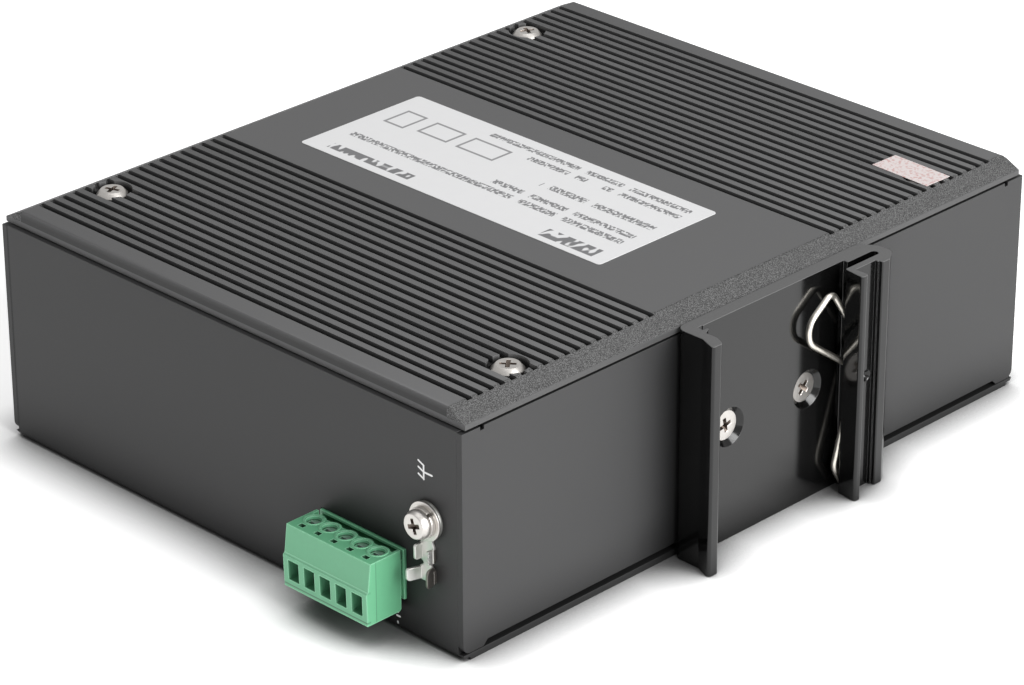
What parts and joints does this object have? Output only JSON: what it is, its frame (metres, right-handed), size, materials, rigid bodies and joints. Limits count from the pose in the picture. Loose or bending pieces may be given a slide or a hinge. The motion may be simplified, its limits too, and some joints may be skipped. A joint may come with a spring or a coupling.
{
  "type": "din rail ethernet switch",
  "caption": "Flat metal-cased network switch with a grooved cover, a rail bracket with a wire spring on its back, stacked jacks in front and a plug-in power terminal at its end.",
  "frame": {"origin": "centre of the rail bracket's seat face, where the back of a 35 mm DIN rail rests", "axes": "+X out of the back towards the rail, +Y along the housing's long side away from the power terminal, +Z through the grooved side cover; the rail runs along Z"},
  "size_m": [0.1249, 0.1509, 0.0452],
  "materials": {
    "housing_paint": "satin powder coat",
    "cover_finish": "dark bead-blasted anodising",
    "bright_nickel": "nickel plated",
    "label_foil": "satin silver film",
    "seal_film": "matt",
    "black_anodised": "glossy black anodising",
    "spring_steel": "drawn wire, warm bright",
    "zinc_plate": "zinc plated",
    "board_green": "solder mask",
    "black_resin": "moulded",
    "capacitor_can": "sleeved can",
    "ferrite": "pressed",
    "led_lens": "tinted clear",
    "jack_plate": "tinned sheet",
    "gold_contact": "gold flash",
    "terminal_green": "moulded, slightly glossy",
    "tin_plate": "tin plated"
  },
  "bodies": {
    "root": {"housing_wrap": "housing_paint", "front_panel": "housing_paint", "rear_panel": "housing_paint", "finned_cover": "cover_finish", "cover_screws": "bright_nickel", "rating_label": "label_foil", "seal_sticker": "seal_film", "din_bracket": "black_anodised", "spring_wire": "spring_steel", "bracket_screws": "bright_nickel", "bracket_nuts": "zinc_plate", "main_board": "board_green", "board_standoffs": "zinc_plate", "corner_posts": "zinc_plate", "board_screws": "bright_nickel", "switch_chip": "black_resin", "chip_heatsink": "black_anodised", "magnetics": "black_resin", "capacitors": "capacitor_can", "power_coil": "ferrite", "status_leds": "led_lens", "jack_shield": "jack_plate", "jack_insulator": "black_resin", "jack_contacts": "gold_contact", "terminal_header": "terminal_green", "header_pins": "tin_plate", "terminal_plug": "terminal_green", "clamp_cages": "tin_plate", "clamp_screws": "zinc_plate", "earth_lug": "tin_plate", "earth_washer": "bright_nickel", "lock_washer": "bright_nickel", "earth_screw": "bright_nickel", "earth_nut": "zinc_plate"}
  },
  "joints": []
}
